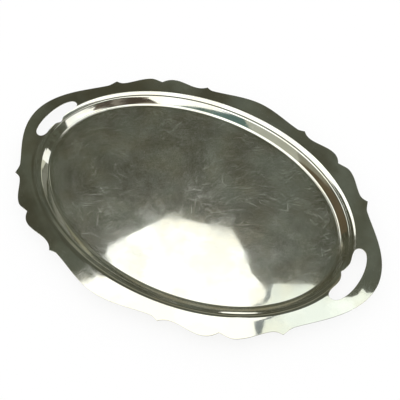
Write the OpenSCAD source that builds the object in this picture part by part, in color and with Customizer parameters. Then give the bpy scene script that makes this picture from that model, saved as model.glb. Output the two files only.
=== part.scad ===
// Oval serving tray: one pressed polished sheet with a stepped oval well, a scalloped border and two
// pierced finger slots, standing on four bonded pads. Millimetres. The origin is on the surface that
// the tray stands on, under the middle of the well; X runs along the tray and Z points up.

/* [Tray] */
// Length over the border, end to end
tray_length = 600; // [480:1:760]
// Width over the border, side to side
tray_width = 416; // [330:1:520]
// Thickness of the pressed sheet
sheet = 1.2; // [0.8:0.1:2]

/* [Well] */
// Height from the flat floor of the well up to the crease where the border begins
well_depth = 13.4; // [11:0.1:24]
// Width of the stepped moulding, from the flat floor out to the crease
moulding_width = 21.7; // [17.5:0.1:30]

/* [Border] */
// Width of the border at the two ends, outside the crease
border_end = 40.5; // [36:0.5:60]
// Width of the border at the middle of the two sides
border_side = 28.6; // [22:0.1:45]
// Angle at which the border rises outwards
border_rise = 4; // [0:0.5:10]

/* [Finger slots] */
// Length of each slot, across the tray
slot_length = 88; // [70:1:120]
// Width of each slot, from its outer edge to the point of its brace
slot_width = 26; // [20:0.5:32]
// Width of the metal left between a slot and the end of the tray
slot_margin = 22.5; // [15:0.5:32]

/* [Pads] */
// Diameter of each pad
pad_diameter = 14; // [8:0.5:24]
// Height of each pad
pad_height = 2.4; // [1.5:0.1:6]
// Gap between a pad and the edge of the flat floor
pad_inset = 14; // [4:1:40]

/* [Hidden] */

// Half axes of the oval crease, and of the flat floor inside the moulding.
crease_x = tray_length / 2 - border_end;
crease_y = tray_width / 2 - border_side;
floor_x = crease_x - moulding_width;
floor_y = crease_y - moulding_width;
floor_z = pad_height + sheet;

// The border's width round a quarter of the tray, from the end at 0 degrees to the side at 90:
// [angle, width, change of width per degree before it, and after it]. Valleys and lobes are level.
// The two ears and the notch between them are sharp, so the change jumps there.
valley = 20;
lobe = 28.5;
BORDER = [
    [0, border_end, 0, 0],
    [30.3, valley + 0.8, 0, 0],
    [34.6, valley + 7, 1.8, -4],
    [37.7, valley + 0.8, 0, 0],
    [48.5, lobe, 0, 0],
    [53.1, valley + 1.5, -1.5, 3.5],
    [57.4, lobe, 0, 0],
    [67, valley - 0.8, 0, 0],
    [70.4, valley + 4.6, 3.5, -2.5],
    [72.8, valley, 0, 0],
    [90, border_side, 0, 0],
];
// Steps of the mesh between one of those angles and the next.
STEPS = [7, 3, 2, 4, 3, 3, 4, 2, 2, 5];

// Profile of the moulding, [distance outwards from the flat floor, height above it]: a low step, a
// steep rise to a narrow ledge, and a shoulder rounded over to the crease. As shares of the whole.
MOULDING = [[0, 0], [0.046, 0.063], [0.124, 0.097], [0.516, 0.765], [0.562, 0.799], [0.682, 0.821],
    [0.8, 0.922], [1, 1]];
PROFILE = [for (share = MOULDING) [share[0] * moulding_width, share[1] * well_depth]];

// Cubic from value v0 with slope s0 to value v1 with slope s1, over a length h, at fraction t.
function blend(v0, s0, v1, s1, h, t) =
    v0 * (2 * t ^ 3 - 3 * t ^ 2 + 1) + s0 * h * (t ^ 3 - 2 * t ^ 2 + t)
    + v1 * (3 * t ^ 2 - 2 * t ^ 3) + s1 * h * (t ^ 3 - t ^ 2);

// [angle, border width] round a quarter, then round the whole tray by mirroring.
QUARTER = [
    for (i = [0:len(STEPS) - 1], step = [0:STEPS[i] - 1])
        let (a = BORDER[i], b = BORDER[i + 1], t = step / STEPS[i])
            [a[0] + (b[0] - a[0]) * t, blend(a[1], a[3], b[1], b[2], b[0] - a[0], t)],
    [90, border_side]
];
last = len(QUARTER) - 1;
ROUND = [
    for (turn = [0, 180]) each concat(
        [for (i = [0:last - 1]) [turn + QUARTER[i][0], QUARTER[i][1]]],
        [for (i = [last:-1:1]) [turn + 180 - QUARTER[i][0], QUARTER[i][1]]])
];

// A point at this angle, this far outside the crease, at height z.
function around(angle, outside, z) =
    let (normal = [crease_y * cos(angle), crease_x * sin(angle)])
    concat([crease_x * cos(angle), crease_y * sin(angle)] + outside * normal / norm(normal), z);
function slope(a, b) = atan2(b[1] - a[1], b[0] - a[0]);
// The point of the underside that is one sheet thickness below this point of the profile.
function below(i) =
    let (
        before = i == 0 ? 0 : slope(PROFILE[i - 1], PROFILE[i]),
        after = i == len(PROFILE) - 1 ? border_rise : slope(PROFILE[i], PROFILE[i + 1]),
        middle = (before + after) / 2)
    PROFILE[i] + sheet / cos((after - before) / 2) * [sin(middle), -cos(middle)];

// One ring of points round the tray for each point of the profile, and one along the rim.
function ring(point) =
    [for (p = ROUND) around(p[0], point[0] - moulding_width, floor_z + point[1])];
function rim(drop) =
    [for (p = ROUND) around(p[0], p[1], floor_z + well_depth + p[1] * tan(border_rise) - drop)];
RINGS = concat(
    [for (point = PROFILE) ring(point)],
    [rim(0), rim(sheet / cos(border_rise))],
    [for (i = [len(PROFILE) - 1:-1:0]) ring(below(i))]);

// A cubic Bezier curve through four points, without its last point.
function curve(p, steps) = [
    for (step = [0:steps - 1])
        let (t = step / steps)
            (1 - t) ^ 3 * p[0] + 3 * (1 - t) ^ 2 * t * p[1] + 3 * (1 - t) * t ^ 2 * p[2] + t ^ 3 * p[3]
];

// Half of a finger slot, [distance in from its outer edge, distance across from its middle]: the
// outer edge, the round end, and the brace that comes back to a point in the middle.
slot_end = slot_length / 2;
HALF_SLOT = concat(
    curve([[0, 0], [0, slot_end * 0.4], [4, slot_end - 12], [9.5, slot_end - 4.5]], 8),
    curve([[9.5, slot_end - 4.5], [15, slot_end + 2.5], [slot_width, slot_end + 2],
        [slot_width - 1, slot_end - 10]], 8),
    curve([[slot_width - 1, slot_end - 10], [slot_width - 1.5, slot_end - 20],
        [slot_width - 9, 16], [slot_width, 0]], 10),
    [[slot_width, 0]]);

module finger_slot() {
    outer = tray_length / 2 - slot_margin;
    other_half = [for (i = [len(HALF_SLOT) - 2:-1:1]) [HALF_SLOT[i][0], -HALF_SLOT[i][1]]];
    outline = [for (p = concat(HALF_SLOT, other_half)) [outer - p[0], p[1]]];
    rim_top = floor_z + well_depth + border_end * tan(border_rise);
    translate([0, 0, floor_z])
        linear_extrude(rim_top - floor_z + sheet)
            polygon(outline);
}

module tray_body() {
    count = len(ROUND);
    top = count * (len(RINGS) - 1);
    // Seen from outside, points run clockwise round each face.
    sides = [
        for (r = [0:len(RINGS) - 2], i = [0:count - 1], half = [0, 1])
            let (
                j = (i + 1) % count,
                a = r * count + i, b = r * count + j,
                c = (r + 1) * count + j, d = (r + 1) * count + i)
                half == 0 ? [a, b, c] : [a, c, d]
    ];
    caps = [[for (i = [count - 1:-1:0]) i], [for (i = [0:count - 1]) top + i]];
    color("silver") difference() {
        polyhedron([for (r = RINGS) each r], concat(sides, caps));
        for (turn = [0, 180]) rotate(turn) finger_slot();
    }
}

// A round pad with a rounded lower edge, bonded under the floor. side and depth are -1 or 1.
module pad(side, depth) {
    reach = pad_inset + pad_diameter / 2;
    round_edge = pad_height / 3;
    radius = pad_diameter / 2;
    color("dimgray")
        translate([side * (floor_x - reach) * cos(45), depth * (floor_y - reach) * sin(45), 0])
            rotate_extrude($fn = 64)
                polygon(concat(
                    [[0, pad_height], [0, 0]],
                    [for (a = [-90:15:0])
                        [radius - round_edge + round_edge * cos(a), round_edge + round_edge * sin(a)]],
                    [[radius, pad_height]]));
}

tray_body();
pad(-1, -1);  // pad_front_left
pad(1, -1);  // pad_front_right
pad(-1, 1);  // pad_back_left
pad(1, 1);  // pad_back_right
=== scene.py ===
"""The serving tray's looks: one pressed, polished sheet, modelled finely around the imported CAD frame."""
import math

import bpy
import numpy as np
from mathutils import Matrix, Vector, noise
from mathutils.geometry import delaunay_2d_cdt

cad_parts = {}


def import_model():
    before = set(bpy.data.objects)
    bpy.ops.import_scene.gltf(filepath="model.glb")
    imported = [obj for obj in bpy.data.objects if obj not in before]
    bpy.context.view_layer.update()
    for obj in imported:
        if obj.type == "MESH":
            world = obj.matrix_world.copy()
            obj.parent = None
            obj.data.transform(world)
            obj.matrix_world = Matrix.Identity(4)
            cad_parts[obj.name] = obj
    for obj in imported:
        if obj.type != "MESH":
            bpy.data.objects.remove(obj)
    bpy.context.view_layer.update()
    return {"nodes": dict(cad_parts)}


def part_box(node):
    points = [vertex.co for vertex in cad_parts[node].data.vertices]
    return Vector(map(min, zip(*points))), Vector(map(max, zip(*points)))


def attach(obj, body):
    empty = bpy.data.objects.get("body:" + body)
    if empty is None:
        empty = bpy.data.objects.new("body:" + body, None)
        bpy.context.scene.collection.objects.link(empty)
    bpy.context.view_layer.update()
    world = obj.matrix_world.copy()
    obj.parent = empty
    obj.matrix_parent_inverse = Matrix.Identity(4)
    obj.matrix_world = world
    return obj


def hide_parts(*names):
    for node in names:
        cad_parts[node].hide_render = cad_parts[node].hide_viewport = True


MM = 0.001

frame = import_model()

# ---------------------------------------------------------------- sizes, in millimetres

# The sheet, the border, the moulding and the slots have the CAD model's sizes.
body_low, body_high = (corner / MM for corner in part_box("tray_body"))
SHEET = 1.2
BORDER_END = 40.5
BORDER_SIDE = 28.6
BORDER_RISE = math.tan(math.radians(4))
WELL_DEPTH = 13.4
MOULDING_WIDTH = 21.7
SLOT_LENGTH = 88
SLOT_WIDTH = 26
SLOT_MARGIN = 22.5
HALF_LENGTH = body_high.x
HALF_WIDTH = body_high.y
CREASE_X = HALF_LENGTH - BORDER_END
CREASE_Y = HALF_WIDTH - BORDER_SIDE
FLOOR_X = CREASE_X - MOULDING_WIDTH
FLOOR_Y = CREASE_Y - MOULDING_WIDTH
FLOOR_Z = body_low.z + SHEET

# The border's width round a quarter of the tray, from the end at 0 degrees to the side at 90:
# angle, width, and its change per degree before and after. The ears and the notch are sharp.
BORDER = [
    (0, BORDER_END, 0, 0),
    (30.3, 20.8, 0, 0),
    (34.6, 27, 1.8, -4),
    (37.7, 20.8, 0, 0),
    (48.5, 28.5, 0, 0),
    (53.1, 21.5, -1.5, 3.5),
    (57.4, 28.5, 0, 0),
    (67, 19.2, 0, 0),
    (70.4, 24.6, 3.5, -2.5),
    (72.8, 20, 0, 0),
    (90, BORDER_SIDE, 0, 0),
]

# The section of the sheet's upper face: distance outwards from the flat floor, and height above it.
SECTION = [
    # the flat floor and the low step
    (-30, 0), (-0.9, 0), (0, 0.1), (0.4, 0.42), (0.8, 0.75), (1.2, 0.92), (1.8, 1.05),
    # the steep rise
    (2.5, 1.22), (2.9, 1.5), (3.2, 1.85), (5.2, 4.1), (7.2, 6.25), (9.2, 8.3), (11.0, 10.05),
    # the ledge
    (11.5, 10.4), (11.9, 10.57), (12.2, 10.64), (12.5, 10.69), (14.6, 10.975), (14.9, 11.02),
    # the shoulder, and the crease
    (15.05, 11.1), (15.8, 11.55), (17.3, 12.3), (19, 12.85), (20.6, 13.2), (21.7, 13.38), (22.9, 13.48),
    # the border
    (30, WELL_DEPTH + 8.3 * BORDER_RISE), (90, WELL_DEPTH + 68.3 * BORDER_RISE),
]

EDGE_RADIUS = 0.45  # how far the polished edge rounds inwards
EDGE_STEP = 1.2  # spacing of points along the rim
RIM_RADIUS = 240  # the rim's usual distance from the middle, for counting its points
WAVE = 0.035  # how far the pressed sheet wanders from a true surface
WAVE_LENGTH = 45
CORE = 4  # inside the moulding by this much, the floor is flat and needs no section


def hermite(v0, s0, v1, s1, h, t):
    """Cubic from v0 with slope s0 to v1 with slope s1, over a length h, at fraction t."""
    return (v0 * (2 * t**3 - 3 * t**2 + 1) + s0 * h * (t**3 - 2 * t**2 + t)
            + v1 * (3 * t**2 - 2 * t**3) + s1 * h * (t**3 - t**2))


class Section:
    """A smooth curve through the section's points that never overshoots them."""

    def __init__(self, points):
        self.x, self.y = np.array(points, float).T
        h = np.diff(self.x)
        d = np.diff(self.y) / h
        w1 = 2 * h[1:] + h[:-1]
        w2 = h[1:] + 2 * h[:-1]
        flat = d[1:] * d[:-1] <= 0
        with np.errstate(divide="ignore", invalid="ignore"):
            inner = (w1 + w2) / (w1 / d[:-1] + w2 / d[1:])
        self.slope = np.concatenate([[d[0]], np.where(flat, 0, inner), [d[-1]]])

    def height(self, x):
        i = np.clip(np.searchsorted(self.x, x) - 1, 0, len(self.x) - 2)
        h = self.x[i + 1] - self.x[i]
        t = (x - self.x[i]) / h
        return hermite(self.y[i], self.slope[i], self.y[i + 1], self.slope[i + 1], h, t)


section = Section(SECTION)


def unit(vectors):
    return vectors / np.linalg.norm(vectors, axis=-1, keepdims=True)


def crease(angle):
    """The crease's point at each angle (radians), and the outward direction there."""
    c, s = np.cos(angle), np.sin(angle)
    return np.stack([CREASE_X * c, CREASE_Y * s], -1), unit(np.stack([CREASE_Y * c, CREASE_X * s], -1))


def around(angle, outside):
    """The points at these angles, these distances outside the crease."""
    foot, normal = crease(angle)
    return foot + np.asarray(outside)[..., None] * normal


def distance_outside(xy):
    """How far each point lies outside the crease."""
    x, y = xy[:, 0], xy[:, 1]
    a = np.arctan2(y / CREASE_Y, x / CREASE_X)
    # Move each angle, a little less than all the way, until its point is the nearest on the crease.
    for _ in range(12):
        tx, ty = -CREASE_X * np.sin(a), CREASE_Y * np.cos(a)
        ex, ey = x - CREASE_X * np.cos(a), y - CREASE_Y * np.sin(a)
        a = a + 0.8 * (ex * tx + ey * ty) / (tx * tx + ty * ty)
    foot, normal = crease(a)
    return ((xy - foot) * normal).sum(-1)


def height(xy):
    """Height of the tray's upper face over each point."""
    in_core = (xy[:, 0] / (FLOOR_X - CORE)) ** 2 + (xy[:, 1] / (FLOOR_Y - CORE)) ** 2 < 1
    outside = np.where(in_core, -30, distance_outside(xy))
    z = FLOOR_Z + section.height(np.clip(outside + MOULDING_WIDTH, -29, 89))
    waves = np.array([noise.noise(Vector((x / WAVE_LENGTH, y / WAVE_LENGTH, 0.3))) for x, y in xy])
    return z + WAVE * waves * np.where(in_core, 0.4, 1)


def upper_face(xy):
    """Points of the upper face over these places, and its unit normals."""
    d = 0.05
    z = height(xy)
    dx = (height(xy + [d, 0]) - height(xy - [d, 0])) / (2 * d)
    dy = (height(xy + [0, d]) - height(xy - [0, d])) / (2 * d)
    return np.column_stack([xy, z]), unit(np.stack([-dx, -dy, np.ones(len(xy))], -1))


# ---------------------------------------------------------------- outlines

def rim_quarter():
    """Angle in degrees and border width, from the end to the middle of the side."""
    out = []
    for (a0, w0, _, s0), (a1, w1, s1, _) in zip(BORDER[:-1], BORDER[1:]):
        steps = max(3, round(math.radians(a1 - a0) * RIM_RADIUS / EDGE_STEP))
        t = np.arange(steps) / steps
        out.append(np.column_stack([a0 + (a1 - a0) * t, hermite(w0, s0, w1, s1, a1 - a0, t)]))
    return np.vstack(out + [[[90, BORDER_SIDE]]])


def rim():
    """The tray's outline, anticlockwise from the middle of its right end."""
    quarter = rim_quarter()
    q = around(np.radians(quarter[:, 0]), quarter[:, 1])
    return np.vstack([q[:-1], (q * [-1, 1])[:0:-1], (q * [-1, -1])[:-1], (q * [1, -1])[:0:-1]])


def bezier(p, steps):
    """Points of a cubic curve, without its last."""
    t = (np.arange(steps) / steps)[:, None]
    p = np.array(p, float)
    return (1 - t) ** 3 * p[0] + 3 * (1 - t) ** 2 * t * p[1] + 3 * (1 - t) * t**2 * p[2] + t**3 * p[3]


def finger_slot(side):
    """A slot's outline, anticlockwise, at the right end (side 1) or the left end (side -1)."""
    end = SLOT_LENGTH / 2
    half = np.vstack([
        bezier([[0, 0], [0, end * 0.4], [4, end - 12], [9.5, end - 4.5]], 34),
        bezier([[9.5, end - 4.5], [15, end + 2.5], [SLOT_WIDTH, end + 2],
                [SLOT_WIDTH - 1, end - 10]], 30),
        bezier([[SLOT_WIDTH - 1, end - 10], [SLOT_WIDTH - 1.5, end - 20], [SLOT_WIDTH - 9, 16],
                [SLOT_WIDTH, 0]], 36),
        [[SLOT_WIDTH, 0]],
    ])
    whole = np.vstack([half, (half * [1, -1])[-2:0:-1]])
    whole[:, 0] = HALF_LENGTH - SLOT_MARGIN - whole[:, 0]
    return whole * side


def sideways(loop):
    """Unit vectors to the right of each point of an anticlockwise loop: away from what it encloses."""
    along = np.roll(loop, -1, 0) - np.roll(loop, 1, 0)
    return unit(np.column_stack([along[:, 1], -along[:, 0]]))


def inside(points, loop):
    """Which points a loop encloses."""
    a, b = loop, np.roll(loop, -1, 0)
    x, y = points[:, :1], points[:, 1:]
    crosses = (a[:, 1] > y) != (b[:, 1] > y)
    with np.errstate(divide="ignore", invalid="ignore"):
        at = a[:, 0] + (y - a[:, 1]) * (b[:, 0] - a[:, 0]) / (b[:, 1] - a[:, 1])
    return (crosses & (x < at)).sum(1) % 2 == 1


def away_from(points, loop, gap):
    """Which points lie at least this far from every point of a loop."""
    keep = np.ones(len(points), bool)
    batch = 2000
    for start in range(0, len(points), batch):
        part = points[start:start + batch]
        d = np.hypot(part[:, :1] - loop[:, 0], part[:, 1:] - loop[:, 1])
        keep[start:start + batch] = d.min(1) > gap
    return keep


# ---------------------------------------------------------------- the tray's mesh

TURNS = 540  # points round each ring
# Rings, by their distance outwards from the flat floor: close together where the section bends.
RINGS = np.concatenate([np.arange(-1.4, 23.4, 0.35), [24.5, 26, 28, 31, 35, 40, 46, 52, 58]])
# Rings on the flat floor: how far out as a share, and which points of the ring they keep.
FLOOR_RINGS = [(0.97, 1), (0.9, 2), (0.8, 2), (0.66, 3), (0.5, 4), (0.34, 6), (0.18, 10)]
EDGE_TURNS = 6  # strips round each cut edge, from the upper face to the lower


def filling_points():
    """Points for the face between the outlines: rings round the well, and its middle."""
    angle = np.arange(TURNS) * 2 * math.pi / TURNS
    rings = [around(angle, np.full(TURNS, d - MOULDING_WIDTH)) for d in RINGS]
    floor_rings = [(rings[0] * share)[::skip] for share, skip in FLOOR_RINGS]
    return np.vstack(floor_rings + rings + [np.zeros((1, 2))])


def triangulate(rim_face, slot_faces):
    """The upper face's points in plan, outlines first, and its triangles."""
    filling = filling_points()
    keep = inside(filling, rim_face) & away_from(filling, rim_face, 1.0)
    for loop in slot_faces:
        keep &= ~inside(filling, loop) & away_from(filling, loop, 0.7)
    loops = [rim_face] + slot_faces
    places = np.vstack(loops + [filling[keep]])
    edges, start = [], 0
    for loop in loops:
        n = len(loop)
        edges += [(start + i, start + (i + 1) % n) for i in range(n)]
        start += n
    verts, _, faces, *_ = delaunay_2d_cdt([Vector(p) for p in places], edges, [], 0, 1e-6)
    xy = np.array([v[:] for v in verts])
    faces = np.array(faces)
    middle = xy[faces].mean(1)
    solid = inside(middle, rim_face)
    for loop in slot_faces:
        solid &= ~inside(middle, loop)
    faces = faces[solid]
    flat = xy[faces]
    turn = np.cross(flat[:, 1] - flat[:, 0], flat[:, 2] - flat[:, 0])
    faces[turn < 0] = faces[turn < 0][:, ::-1]
    return xy, faces


def build_tray():
    """The whole sheet as one closed mesh: upper face, lower face and rounded edges."""
    rim_loop = rim()
    slots = [finger_slot(1), finger_slot(-1)]
    rim_face = rim_loop - EDGE_RADIUS * sideways(rim_loop)
    slot_faces = [loop + EDGE_RADIUS * sideways(loop) for loop in slots]
    xy, faces = triangulate(rim_face, slot_faces)

    top, normal = upper_face(xy)
    under = top - normal * SHEET
    points, normals = [top, under], [normal, -normal]
    polygons = faces.tolist() + (faces[:, ::-1] + len(top)).tolist()

    # The cut edges, rounded from the upper face to the lower. way is -1 for an outline round a hole.
    start, base = 0, 2 * len(top)
    for loop, way in zip([rim_loop] + slots, (1, -1, -1)):
        n = len(loop)
        idx = np.arange(start, start + n)
        start += n
        out = np.column_stack([way * sideways(loop), np.zeros(n)])
        layers = [idx]
        for k in range(1, EDGE_TURNS):
            a = math.pi * k / EDGE_TURNS
            across = (1 - math.cos(a)) / 2
            bulge = out * EDGE_RADIUS * math.sin(a)
            points.append(top[idx] * (1 - across) + under[idx] * across + bulge)
            normals.append(unit(normal[idx] * math.cos(a) + out * math.sin(a)))
            layers.append(base + np.arange(n))
            base += n
        layers.append(idx + len(top))
        for upper, lower in zip(layers[:-1], layers[1:]):
            strip = np.column_stack([upper, lower, np.roll(lower, -1), np.roll(upper, -1)])
            polygons += (strip if way == 1 else strip[:, ::-1]).tolist()

    mesh = bpy.data.meshes.new("tray_sheet")
    mesh.from_pydata((np.vstack(points) * MM).tolist(), [], polygons)
    mesh.shade_smooth()
    mesh.validate()
    mesh.normals_split_custom_set_from_vertices(np.vstack(normals).tolist())
    sheet = bpy.data.objects.new("tray_sheet", mesh)
    bpy.context.collection.objects.link(sheet)
    return sheet


tray = build_tray()
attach(tray, "root")
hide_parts("tray_body")


# ---------------------------------------------------------------- node trees

class Nodes:
    """Short calls for building the node tree of a material or of the world."""

    def __init__(self, owner):
        owner.use_nodes = True
        self.tree = owner.node_tree

    def put(self, socket, value):
        """Set a socket, or link another node's output to it. A colour is red, green and blue."""
        if isinstance(value, bpy.types.NodeSocket):
            self.tree.links.new(value, socket)
        elif socket.type == "RGBA":
            socket.default_value = (*value, 1)
        else:
            socket.default_value = value

    def node(self, kind, inputs, **settings):
        """A new node with these settings, and these inputs by name or number."""
        node = self.tree.nodes.new(kind)
        for name, setting in settings.items():
            setattr(node, name, setting)
        for name, value in inputs.items():
            self.put(node.inputs[name], value)
        return node

    def coordinates(self, name):
        return self.node("ShaderNodeTexCoord", {}).outputs[name]

    def math(self, operation, a, b=0.0):
        return self.node("ShaderNodeMath", {0: a, 1: b}, operation=operation).outputs[0]

    def ramp(self, value, low, high, to_low=0.0, to_high=1.0, kind="SMOOTHSTEP"):
        """From to_low, where the value is low or less, to to_high, where it is high or more."""
        inputs = {0: value, 1: low, 2: high, 3: to_low, 4: to_high}
        return self.node("ShaderNodeMapRange", inputs, interpolation_type=kind).outputs[0]

    def mix(self, factor, a, b, kind="MIX"):
        inputs = {0: factor, 6: a, 7: b}
        return self.node("ShaderNodeMix", inputs, data_type="RGBA", blend_type=kind).outputs[2]

    def place(self, scale=(1, 1, 1), turn=0.0, shift=(0, 0, 0)):
        """Object coordinates, turned about Z, stretched and shifted."""
        inputs = {"Vector": self.coordinates("Object"), "Angle": -turn}
        turned = self.node("ShaderNodeVectorRotate", inputs, rotation_type="Z_AXIS").outputs[0]
        inputs = {"Vector": turned, "Location": shift, "Scale": scale}
        return self.node("ShaderNodeMapping", inputs).outputs[0]

    def split(self, vector):
        return self.node("ShaderNodeSeparateXYZ", {0: vector}).outputs

    def chance(self, a, b):
        """A repeatable chance value, 0 to 1, for each pair of whole numbers."""
        pair = self.node("ShaderNodeCombineXYZ", {0: a, 1: b}).outputs[0]
        return self.node("ShaderNodeTexWhiteNoise", {"Vector": pair}).outputs["Value"]

    def noise(self, vector, scale, detail=2.0, rough=0.5):
        inputs = {"Vector": vector, "Scale": scale, "Detail": detail, "Roughness": rough}
        return self.node("ShaderNodeTexNoise", inputs).outputs["Fac"]

    def bump(self, height, strength):
        """A normal for a relief of a tenth of a millimetre, at this strength."""
        inputs = {"Strength": strength, "Distance": 0.1 * MM, "Height": height}
        return self.node("ShaderNodeBump", inputs).outputs[0]


def new_material(name):
    """A material, its node tree, and the inputs of its shader."""
    material = bpy.data.materials.new(name)
    n = Nodes(material)
    return material, n, n.tree.nodes["Principled BSDF"].inputs


# ---------------------------------------------------------------- materials

# Hairline scratches: direction in degrees from the tray's length, length in millimetres, spacing of
# the rows that they lie in, and the share of the rows that is marked.
SCRATCHES = [
    (38, 24, 3.1, 0.11),
    (52, 12, 4.3, 0.12),
    (20, 30, 3.7, 0.09),
    (-24, 16, 5.3, 0.1),
    (84, 18, 4.7, 0.09),
    (-58, 24, 6.1, 0.09),
    (6, 32, 5.9, 0.08),
    (64, 9, 3.3, 0.1),
]
BEND = 1.2  # how far a scratch's course wanders, in millimetres
LINE = (0.07, 0.2)  # half widths of a scratch, where it begins to fade and where it ends


def scratches(n, direction, length, spacing, share):
    """Hairline scratches that run one way: 0 on clean metal, up to 1 in a scratch."""
    bend = n.noise(n.place(shift=(0.3, direction * 0.01, 0)), 13, 1)
    x, y, _ = n.split(n.place(turn=math.radians(direction)))
    y = n.math("DIVIDE", n.math("ADD", y, n.math("MULTIPLY", bend, BEND * MM)), spacing * MM)
    row = n.math("FLOOR", y)
    chance = n.chance(row, direction)
    x = n.math("ADD", n.math("DIVIDE", x, length * MM), n.math("MULTIPLY", chance, 9))
    place_in_row = n.math("ADD", n.math("MULTIPLY", chance, 0.5), 0.25)
    across = n.math("ABSOLUTE", n.math("SUBTRACT", n.math("FRACT", y), place_in_row))
    along = n.math("FRACT", x)
    taper = n.math("MULTIPLY", n.math("MULTIPLY", along, n.math("SUBTRACT", 1.0, along)), 4)
    line = n.ramp(n.math("MULTIPLY", across, spacing), *LINE, 1, 0)
    picked = n.ramp(n.chance(row, n.math("FLOOR", x)), 1 - share, 1 - share * 0.3)
    return n.math("MULTIPLY", n.math("MULTIPLY", line, taper), picked)


def polished_sheet():
    """Silver-coloured metal polished to a mirror, then wiped, stacked and carried for years."""
    material, n, shader = new_material("polished_sheet")
    cloudy = n.noise(n.place(), 14, 3, 0.55)
    blotchy = n.noise(n.place(shift=(0.31, 0.17, 0)), 30, 3, 0.55)
    grainy = n.noise(n.place(shift=(0.7, 0.2, 0)), 4200, 1, 0.5)
    patchy = n.noise(n.place(shift=(0.12, 0.43, 0)), 9, 2)
    stained = n.noise(n.place(shift=(0.52, 0.08, 0)), 24, 4, 0.6)

    # The well's floor is worn most; the border and the moulding less.
    x, y, _ = n.split(n.place((1 / (FLOOR_X * MM), 1 / (FLOOR_Y * MM), 0)))
    radius = n.math("SQRT", n.math("ADD", n.math("MULTIPLY", x, x), n.math("MULTIPLY", y, y)))
    worn = n.ramp(radius, 0.93, 1.03, 1.0, 0.22)

    # Scratches come in patches.
    scratched = 0.0
    for direction, length, spacing, share in SCRATCHES:
        scratched = n.math("MAXIMUM", scratched, scratches(n, direction, length, spacing, share))
    patches = n.ramp(n.ramp(patchy, 0.34, 0.62), 0, 1, 0.45, 1.0)
    scratched = n.math("MULTIPLY", scratched, n.math("MULTIPLY", worn, patches))

    # Haze finer than the eye can see blurs what the floor mirrors.
    haze = n.math("MULTIPLY", n.ramp(grainy, 0.5, 0.75, 0.0, 0.42), worn)
    haze = n.math("ADD", haze, n.ramp(blotchy, 0.42, 0.74, 0.0, 0.07))
    rough = n.math("ADD", haze, n.ramp(cloudy, 0.3, 0.7, 0.018, 0.04))
    n.put(shader["Roughness"], n.math("ADD", rough, n.math("MULTIPLY", scratched, 0.36)))

    silver = n.mix(n.ramp(cloudy, 0.38, 0.62), (0.93, 0.94, 0.91), (0.82, 0.80, 0.71))
    silver = n.mix(n.ramp(stained, 0.36, 0.66, 0.0, 0.6), silver, (0.74, 0.76, 0.73))
    n.put(shader["Base Color"], silver)
    n.put(shader["Metallic"], 1.0)

    relief = n.math("SUBTRACT", n.math("MULTIPLY", blotchy, 0.35), n.math("MULTIPLY", scratched, 0.06))
    n.put(shader["Normal"], n.bump(relief, 0.35))
    return material


def pad_rubber():
    """Dull black rubber, faintly grained and dusty."""
    material, n, shader = new_material("pad_rubber")
    grain = n.noise(n.place(), 1800, 3, 0.6)
    dust = n.ramp(n.noise(n.place(shift=(0.2, 0.1, 0.3)), 260, 3), 0.45, 0.7)
    n.put(shader["Base Color"], n.mix(dust, (0.022, 0.022, 0.023), (0.06, 0.058, 0.054)))
    n.put(shader["Roughness"], n.ramp(grain, 0.3, 0.7, 0.62, 0.85))
    n.put(shader["Normal"], n.bump(grain, 0.4))
    return material


tray.data.materials.append(polished_sheet())
rubber = pad_rubber()
for name, node in frame["nodes"].items():
    if name.startswith("pad_"):
        node.data.materials.clear()
        node.data.materials.append(rubber)


# ---------------------------------------------------------------- studio, in metres

def folds(n):
    """The colour of dark cloth with paler folds."""
    pale = n.ramp(n.noise(n.coordinates("Object"), 5.0), 0.5, 0.62, kind="LINEAR")
    return n.mix(pale, (0.07, 0.055, 0.04), (0.24, 0.21, 0.17))


def glow(name, colour, strength):
    """A glowing material. The colour is red, green and blue, or a function that makes it of nodes."""
    material = bpy.data.materials.new(name)
    n = Nodes(material)
    n.tree.nodes.clear()
    colour = colour(n) if callable(colour) else colour
    light = n.node("ShaderNodeEmission", {"Color": colour, "Strength": strength})
    n.node("ShaderNodeOutputMaterial", {"Surface": light.outputs[0]})
    return material


def card(name, corners, colour, strength=1.0):
    """A flat glowing panel that the polished metal mirrors; the camera itself doesn't see it."""
    mesh = bpy.data.meshes.new(name)
    mesh.from_pydata(corners, [], [list(range(len(corners)))])
    mesh.materials.append(glow(name, colour, strength))
    panel = bpy.data.objects.new(name, mesh)
    bpy.context.collection.objects.link(panel)
    panel.visible_camera = False
    panel.visible_shadow = False
    panel.visible_diffuse = False


def level(name, outline, z, colour, strength=1.0):
    """A level card at this height, with an outline of places in plan."""
    card(name, [(x, y, z) for x, y in outline], colour, strength)


def at_bearing(degrees, distance, z):
    a = math.radians(degrees)
    return (distance * math.cos(a), distance * math.sin(a), z)


def wall(name, start, end, low, high, distance, colour, strength):
    """An upright card round the tray, between two bearings in degrees and two heights."""
    steps = max(1, round(abs(end - start) / 15))
    bearings = [start + (end - start) * i / steps for i in range(steps + 1)]
    feet = [at_bearing(b, distance, low) for b in bearings]
    tops = [at_bearing(b, distance, high) for b in bearings]
    card(name, feet + tops[::-1], colour, strength)


def floor():
    """A pale floor that stays nearly white under the tray, with a faint soft shadow."""
    half = 12.0
    corners = [(-half, -half, 0), (half, -half, 0), (half, half, 0), (-half, half, 0)]
    mesh = bpy.data.meshes.new("studio_floor")
    mesh.from_pydata(corners, [], [(0, 1, 2, 3)])
    material, n, shader = new_material("studio_floor")
    n.put(shader["Base Color"], (0.25, 0.25, 0.25))
    n.put(shader["Roughness"], 0.9)
    n.put(shader["Specular IOR Level"], 0.0)
    n.put(shader["Emission Color"], (1, 1, 1))
    n.put(shader["Emission Strength"], 0.74)
    mesh.materials.append(material)
    ground = bpy.data.objects.new("studio_floor", mesh)
    bpy.context.collection.objects.link(ground)


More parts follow.
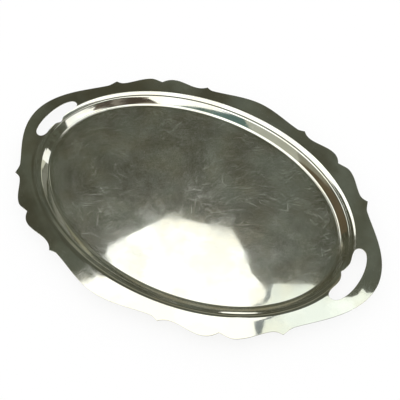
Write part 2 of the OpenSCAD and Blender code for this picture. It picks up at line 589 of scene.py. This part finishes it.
def world():
    """White light all round for the floor, and a dim room for what the polished metal mirrors."""
    room = bpy.data.worlds.new("studio")
    bpy.context.scene.world = room
    n = Nodes(room)
    n.tree.nodes.clear()
    white = n.node("ShaderNodeBackground", {"Color": (1, 1, 1), "Strength": 1.05})

    # The room is darker to the left, mottled all round, and greener overhead.
    direction = n.coordinates("Generated")
    x, _, z = n.split(direction)
    colour = n.mix(n.ramp(x, -0.62, -0.36), (0.074, 0.073, 0.05), (0.094, 0.096, 0.072))
    mottle = n.ramp(n.noise(direction, 20, 3), 0.4, 0.6)
    tint = n.mix(mottle, (0.76, 0.74, 0.68), (1.2, 1.27, 1.28))
    colour = n.mix(1.0, colour, tint, "MULTIPLY")
    colour = n.mix(n.ramp(z, 0.88, 0.94), colour, (0.075, 0.115, 0.105))
    dim = n.node("ShaderNodeBackground", {"Color": colour})

    mirrored = n.node("ShaderNodeLightPath", {}).outputs["Is Glossy Ray"]
    both = n.node("ShaderNodeMixShader", {0: mirrored, 1: white.outputs[0], 2: dim.outputs[0]})
    n.node("ShaderNodeOutputWorld", {"Surface": both.outputs[0]})


# The bright ceiling, cut off where the well's reflection of it ends.
CEILING_Z = 1.5
CEILING = [
    (-0.95, 0.1), (-0.76, 0.36), (-0.82, 0.39), (-0.84, 0.43), (-0.82, 0.49), (-0.71, 0.72),
    (-0.66, 0.74), (-0.42, 0.82), (-0.32, 0.76), (-0.23, 0.68), (-0.14, 0.64), (-0.11, 0.52),
    (-0.11, 0.45), (0.05, 0.45), (0.32, -0.9), (12, -0.9), (12, -12), (-7, -12), (-1.3, -0.4),
]
# Two bright sheets close over the near side, and the grey strip between their edges.
NEAR_Z = 0.25
WHITE_EDGE = [(0.16, -0.04), (0.139, -0.014), (0.125, 0.003), (0.135, 0.021), (0.134, 0.037), (0.128, 0.046)]
PALE_EDGE = [
    (0.16, -0.04), (0.145, -0.006), (0.142, 0.004), (0.137, 0.015), (0.143, 0.025), (0.143, 0.038),
    (0.137, 0.05), (0.134, 0.063),
]
WHITE = [(0.12, 0.05), (0.075, 0.065), (0.05, 0.08), (0.05, -0.12), (0.16, -0.12)] + WHITE_EDGE
PALE = [
    (0.159, 0.08), (0.174, 0.089), (0.19, 0.1), (0.207, 0.103), (0.222, 0.108), (0.232, 0.112),
    (0.238, 0.119), (0.24, 0.131), (0.249, 0.127), (0.258, 0.131), (0.3, 0.15), (0.3, -0.12),
    (0.16, -0.12),
] + PALE_EDGE
STRIP = WHITE_EDGE + PALE_EDGE[:0:-1]
# A dark shape that stands over the tray: bearing and height round its outline.
FIGURE_DISTANCE = 0.75
FIGURE = [
    (-7, 0.0), (-8, 0.45), (-18, 0.9), (-32, 1.25), (-46, 1.46), (-62, 1.46), (-72, 1.25),
    (-81, 0.85), (-88, 0.4), (-89, 0.0),
]
TEAL_SCREEN = [
    (0.92, -1.31, 0), (0.92, -1.31, 0.95), (0.28, -1.57, 1.12), (-0.28, -1.57, 1.3),
    (-0.75, -1.41, 1.42), (-0.75, -1.41, 0),
]
WARM_WHITE = (1.0, 1.0, 0.93)
DAYLIGHT = (1.0, 1.0, 0.94)
# Name, from and to which bearing, bottom, top, distance, colour and strength.
WALLS = [
    ("left_window", -135, -62, 0, 1.9, 3.2, DAYLIGHT, 1.2),
    ("right_window", -28, 29, 0, 3.4, 3.2, DAYLIGHT, 1.2),
    ("low_window", 70, 82, 0, 1.15, 3.0, DAYLIGHT, 1.1),
    ("high_window", 82, 100, 0.6, 1.1, 3.0, (0.6, 0.6, 0.48), 1),
    ("high_window_end", 100, 116, 0.65, 0.95, 3.0, (0.32, 0.31, 0.22), 1),
    ("tan_window", 117, 142, 1.35, 2.0, 3.0, (0.30, 0.29, 0.22), 1),
    ("tan_wall", 82, 115, 0, 0.55, 3.0, (0.2, 0.2, 0.16), 1),
    ("tan_screen", -158, -136, 0, 1.45, 1.7, (0.26, 0.25, 0.19), 1),
    ("cream_screen", -138, -118, 0, 1.4, 1.6, (0.45, 0.45, 0.37), 1),
    ("brown_wall", -185, -138, 0, 0.8, 1.6, (0.115, 0.088, 0.052), 1),
]

floor()
world()
level("main_card", CEILING, CEILING_Z, WARM_WHITE, 1.46)
level("near_card", WHITE, NEAR_Z, WARM_WHITE, 1.46)
level("pale_card", PALE, NEAR_Z, (0.95, 1.0, 0.91), 1.12)
level("strip_card", STRIP, NEAR_Z, (0.20, 0.23, 0.24))
card("figure", [at_bearing(b, FIGURE_DISTANCE, z) for b, z in FIGURE], folds)
card("teal_screen", TEAL_SCREEN, (0.10, 0.16, 0.14))
for panel in WALLS:
    wall(*panel)

# ---------------------------------------------------------------- camera

EYE = Vector((0.3209, -0.3915, 0.6701))
LOOK_AT = Vector((0.0246, 0.0, 0.0036))
ROLL = math.radians(-3.0)
camera = bpy.data.cameras.new("camera")
camera.lens = 50.4
camera.sensor_width = 36
camera_object = bpy.data.objects.new("camera", camera)
bpy.context.collection.objects.link(camera_object)
towards = (LOOK_AT - EYE).to_track_quat("-Z", "Y").to_matrix().to_4x4()
camera_object.matrix_world = Matrix.Translation(EYE) @ towards @ Matrix.Rotation(ROLL, 4, "Z")
bpy.context.scene.camera = camera_object
bpy.context.scene.view_settings.view_transform = "Standard"
